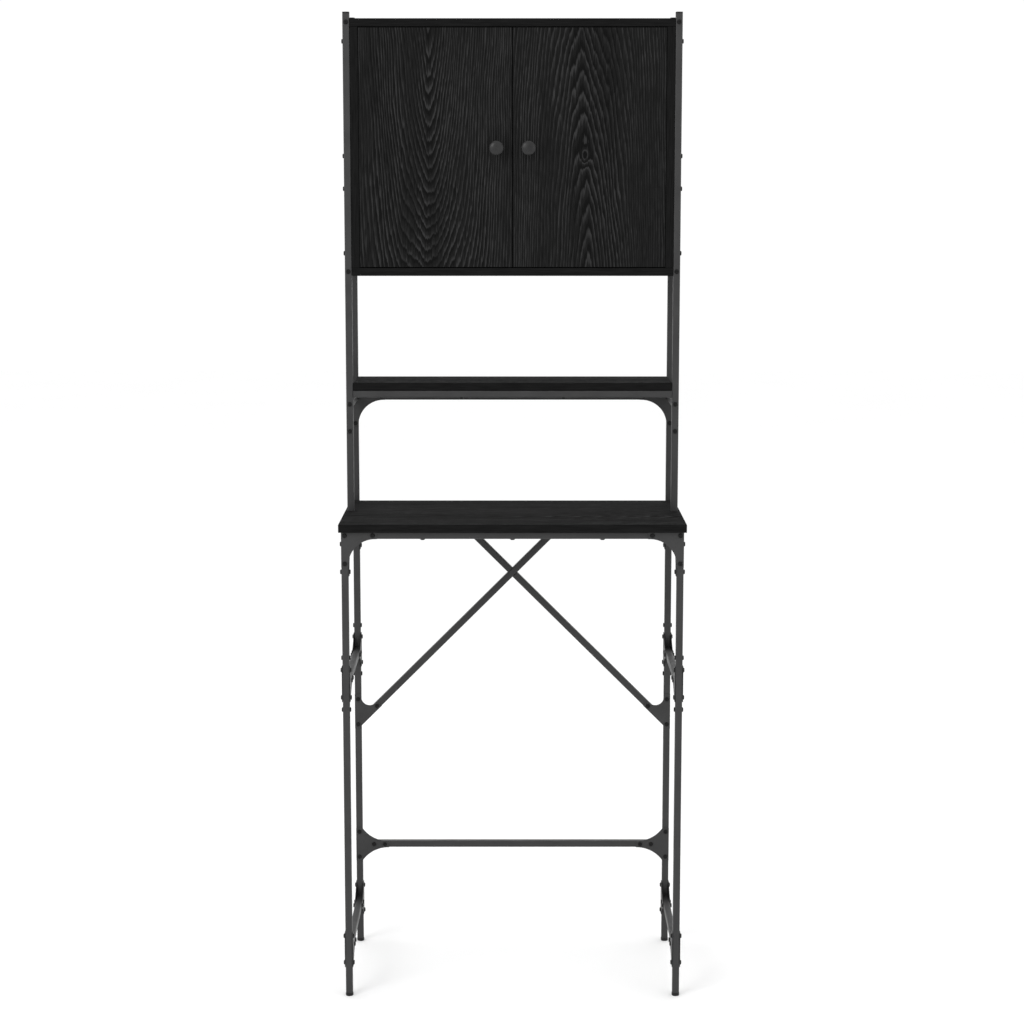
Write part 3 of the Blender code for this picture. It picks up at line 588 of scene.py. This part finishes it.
# Bolts with no plate: beside the middle side rails, on the front and outside of the hutch posts, and under the rails
# that carry a shelf.
looseBolts = {
    "splice": 0.0496,   # above and below the middle side rail
    "hutchFront": (1.8358, 1.3715, 1.1190, 1.0670),
    "hutchSide": (1.8005, 1.5883, 1.5272, 1.4060),
    "underShelf": {"wide_shelf_screws": ("front_shelf_rail", (-0.167, 0.0, 0.167)),
                   "middle_shelf_screws": ("hutch_front_rail", (-0.098, 0.098))},
}
for side, sign in sides.items():
    railZ = middleOf(side + "_mid_side_rail")[0].z
    for post in ("front_leg", "rear_post"):
        middle, _ = middleOf(side + "_" + post)
        spots = [(middle.y, railZ + rise * looseBolts["splice"]) for rise in (-1, 1)]
        makePiece(side + "_" + post + "_splice_bolts", throughBolts(middle.x, spots, halfTube, 0), [boltBlack])
    middle, _ = middleOf(side + "_hutch_post")
    parts = [(head((middle.x, middle.y - halfTube, z), "-Y"), 0) for z in looseBolts["hutchFront"]]
    parts += [(head((middle.x + sign * halfTube, middle.y, z), sideways(sign)), 0) for z in looseBolts["hutchSide"]]
    makePiece(side + "_hutch_post_bolts", parts, [boltBlack])
for name, (rail, places) in looseBolts["underShelf"].items():
    middle, _ = middleOf(rail)
    parts = [(head((x, middle.y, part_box(rail)[0].z), "-Z"), 0) for x in places]
    makePiece(name, parts, [boltBlack])
print("loose bolts made")


boardBack = {"dark": (0.008, 0.0078, 0.0075), "light": (0.017, 0.0165, 0.016), "felt": (420, 420, 180),
             "flake": 70.0, "feltShare": 0.6, "roughness": (0.70, 0.85), "gloss": 0.15, "bump": 0.5,
             "bumpDepth": 0.0002, "ease": 0.0002}


# Thin black fibreboard: felted noise at two sizes, drawn out along the panel's height.
def fibreboard(name, look=boardBack):
    material, tree, shader, place = startMaterial(name)
    felt = noise(tree, stretched(tree, place, look["felt"]), 1.0, 3.0, 0.6)
    flake = noise(tree, place, look["flake"], 3.0)
    share = look["feltShare"]
    mix = calc(tree, "MULTIPLY_ADD", felt, share, calc(tree, "MULTIPLY", flake, 1 - share))
    colour = blendColours(tree, remap(tree, mix, 0.38, 0.62), look["dark"], look["light"])
    feed(tree, shader.inputs["Base Color"], colour)
    feed(tree, shader.inputs["Roughness"], remap(tree, flake, 0.3, 0.7, *look["roughness"]))
    shader.inputs["Specular IOR Level"].default_value = look["gloss"]
    ridges(tree, shader, felt, look["bump"], look["bumpDepth"])
    return material


# A flat panel from side board to side board and from bottom board to top board.
def cabinetBack(look=boardBack):
    middle, size = middleOf("cabinet_back")
    left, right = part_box("cabinet_left_side")[1].x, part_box("cabinet_right_side")[0].x
    bottom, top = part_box("cabinet_bottom")[1].z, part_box("cabinet_top")[0].z
    corners = np.array([(-1, -1), (1, -1), (1, 1), (-1, 1)])
    outline = corners * ((right - left) / 2, (top - bottom) / 2)
    centre = ((left + right) / 2, middle.y, (bottom + top) / 2)
    panel = placed(plateShape(outline, size.y, look["ease"]), centre, facing["-Y"])
    makePiece("cabinet_back_panel", [(panel, 0)], [fibreboard("blackFibreboard")], ["cabinet_back"])


cabinetBack()
print("cabinet back made")


postCap = {"height": 0.003, "crown": 0.0004, "ease": 0.0007, "lead": 0.0002, "crownInset": (0.0035, 0.0055),
           "crownDrop": (0.0001, 0.0), "turn": (0, 30, 60, 90)}
roundFoot = {"radius": 0.0073, "height": 0.006, "neck": 0.0048, "stem": 0.018, "face": 0.0010, "ease": 0.0012,
             "rim": 0.0004, "turn": (0, 30, 60, 90), "around": 40}


# A rounded square drawn in towards the top by a quarter circle, and then towards the middle by a low crown.
def capShape(look=postCap):
    side, ease, top = stock["tube"], look["ease"], look["height"] - look["crown"]
    turn = np.radians(look["turn"])
    inward = np.concatenate([[look["lead"], 0.0], ease * (1 - np.cos(turn)), look["crownInset"]])
    height = np.concatenate([[0.0, look["lead"]], top - ease + ease * np.sin(turn),
                             look["height"] - np.array(look["crownDrop"])])
    outline = roundedSquare(side, stock["corner"])
    rings = [np.column_stack([outline * factor, np.full(len(outline), z)])
             for factor, z in zip(1 - 2 * inward / side, height)]
    return sheetOf(np.stack(rings))


# A round glide: a flat face, a quarter-round lower edge, a straight rim and a neck that goes up the tube.
def glideShape(look=roundFoot):
    radius, height, neck, ease, rim = (look[key] for key in ("radius", "height", "neck", "ease", "rim"))
    turn = np.radians(look["turn"])
    lower = np.column_stack([radius - ease + ease * np.sin(turn), ease - ease * np.cos(turn)])
    upper = [(radius, height - rim), (radius - rim, height), (neck, height), (neck, height + look["stem"])]
    return turnedShape(np.concatenate([[(look["face"], 0.0)], lower, upper]), look["around"])


for side in sides:
    for post in ("hutch_post", "rear_post"):
        middle, size = middleOf(side + "_" + post)
        spot = (middle.x, middle.y, middle.z + size.z / 2 + stock["gap"])
        makePiece(side + "_" + post + "_cap", [(placed(capShape(), spot), 0)], [blackPlastic])
    for end in ("front", "rear"):
        node = side + "_" + end + "_foot"
        middle, size = middleOf(node)
        spot = (middle.x, middle.y, middle.z - size.z / 2)
        makePiece(node + "_glide", [(placed(glideShape(), spot), 0)], [blackPlastic], [node])
print("caps and feet made")


turnedKnob = {"radius": 0.0135, "reach": 0.025, "neck": 0.0065, "rim": 0.0035, "dome": 0.0030, "lip": 0.0012,
              "slope": 62, "roll": (75, -90), "rollPower": 0.8, "waistPower": 2.2, "tip": 0.0006, "around": 48}
hingeCup = {"radius": 0.0172, "flange": 0.0195, "depth": 0.0112, "sheet": 0.0009, "ease": 0.001, "under": 0.0002,
            "levels": (1.455, 1.751), "inset": 0.0215, "around": 48}


# A low dome, a rolled rim and a waist that widens again towards the rim: neck + (rim - neck) * (1 - t)^power.
def knobShape(look=turnedKnob):
    radius, rim, dome, neck = (look[key] for key in ("radius", "rim", "dome", "neck"))
    shoulder, inner = look["reach"] - dome, radius - rim / 2
    slope = np.radians(np.linspace(0, look["slope"], 7))
    crown = np.column_stack([(radius - look["lip"]) * np.sin(slope) / math.sin(slope[-1]),
                             shoulder + dome * (np.cos(slope) - math.cos(slope[-1])) / (1 - math.cos(slope[-1]))])
    roll = np.radians(np.linspace(*look["roll"], 9))
    rolled = np.column_stack([inner + rim / 2 * np.cos(roll) ** look["rollPower"],
                              shoulder - rim / 2 + rim / 2 * np.sin(roll)])
    t = np.linspace(0, 1, 9)[1:]
    waist = np.column_stack([neck + (inner - neck) * (1 - t) ** look["waistPower"], (shoulder - rim) * (1 - t)])
    profile = np.concatenate([crown[:1] + [look["tip"], 0], crown[1:], rolled, waist])[::-1]
    return turnedShape(profile, look["around"])


# A pressed cup with a thin flange, open to the door's back: outside up, rim over, inside down.
def cupShape(look=hingeCup):
    radius, sheet, depth, ease, flange = (look[key] for key in ("radius", "sheet", "depth", "ease", "flange"))
    profile = [(ease, 0.0), (radius - ease, 0.0), (radius, ease), (radius, depth - look["under"]), (flange, depth),
               (flange, depth + sheet * 0.8), (radius - sheet, depth + sheet), (radius - 2 * sheet, depth - ease),
               (radius - 2 * sheet, sheet + ease), (radius - 3 * sheet, sheet), (ease, sheet)]
    return turnedShape(profile, look["around"])


for side, sign in sides.items():
    node, leaf = side + "_knob", side + "_door_leaf"
    door, doorSize = middleOf(side + "_door")
    front, back = door.y - doorSize.y / 2, door.y + doorSize.y / 2
    knob, _ = middleOf(node)
    parts = [(placed(knobShape(), (knob.x, front - stock["gap"], knob.z), facing["-Y"]), 0),
             (head((knob.x, back + stock["gap"], knob.z), "+Y"), 1)]
    makePiece(node + "_turned", parts, [knobMetal, boltBlack], [node], leaf)
    cupX = door.x + sign * (doorSize.x / 2 - hingeCup["inset"])
    parts = [(placed(cupShape(), (cupX, back - hingeCup["depth"], z), facing["+Y"]), 0) for z in hingeCup["levels"]]
    makePiece(side + "_hinge_cups", parts, [nickel], body=leaf)
print("knobs and hinges made")


studio = {"dark": (0.975, 0.975, 0.975), "light": (0.985, 0.985, 0.985), "cloud": 1.3, "roughness": (0.85, 0.95),
          "gloss": 0.1, "reach": 14.0, "world": 1.02, "target": (0, 0, 0.95)}
lamps = {
    "key": {"place": (-2.6, -3.2, 3.4), "size": (2.2, 2.2), "power": 58.0},
    "fill": {"place": (3.0, -2.4, 1.8), "size": (2.0, 2.4), "power": 10.0},
    "top": {"place": (0.0, 0.6, 4.2), "size": (2.6, 2.6), "power": 12.0},
}
camera = {"place": (0.0, -4.136, 1.5328), "pitch": 8.0, "lens": 76.486, "shift": (-0.0005, -0.02)}


# A square of pale floor with faint clouds in it.
def makeFloor(look=studio):
    material, tree, shader, place = startMaterial("paleFloor")
    cloud = noise(tree, place, look["cloud"], 3.0)
    feed(tree, shader.inputs["Base Color"], blendColours(tree, remap(tree, cloud, 0.3, 0.7), look["dark"],
                                                         look["light"]))
    feed(tree, shader.inputs["Roughness"], remap(tree, cloud, 0.3, 0.7, *look["roughness"]))
    shader.inputs["Specular IOR Level"].default_value = look["gloss"]
    mesh = bpy.data.meshes.new("studio_floor")
    reach = look["reach"]
    corners = [(-reach, -reach, 0), (reach, -reach, 0), (reach, reach, 0), (-reach, reach, 0)]
    mesh.from_pydata(corners, [], [(0, 1, 2, 3)])
    mesh.materials.append(material)
    floor = bpy.data.objects.new("studio_floor", mesh)
    bpy.context.scene.collection.objects.link(floor)


def softbox(name, look):
    light = bpy.data.lights.new(name, "AREA")
    light.shape = "RECTANGLE"
    light.size, light.size_y = look["size"]
    light.energy = look["power"]
    lamp = bpy.data.objects.new(name, light)
    lamp.location = look["place"]
    aim = Vector(studio["target"]) - Vector(look["place"])
    lamp.rotation_euler = aim.to_track_quat("-Z", "Y").to_euler()
    bpy.context.scene.collection.objects.link(lamp)


def makeWorld():
    world = bpy.data.worlds.new("paleStudio")
    world.use_nodes = True
    backdrop = world.node_tree.nodes["Background"]
    backdrop.inputs["Color"].default_value = (1, 1, 1, 1)
    backdrop.inputs["Strength"].default_value = studio["world"]
    bpy.context.scene.world = world


def makeCamera(look=camera):
    lens = bpy.data.cameras.new("studioCamera")
    lens.lens = look["lens"]
    lens.sensor_width = 36.0
    lens.shift_x, lens.shift_y = look["shift"]
    eye = bpy.data.objects.new("studioCamera", lens)
    eye.location = look["place"]
    eye.rotation_euler = (math.radians(90 - look["pitch"]), 0, 0)
    bpy.context.scene.collection.objects.link(eye)
    bpy.context.scene.camera = eye
    bpy.context.scene.view_settings.view_transform = "Standard"    # so the pale floor stays pale


makeFloor()
makeWorld()
for name, look in lamps.items():
    softbox(name, look)
makeCamera()
print("studio made")
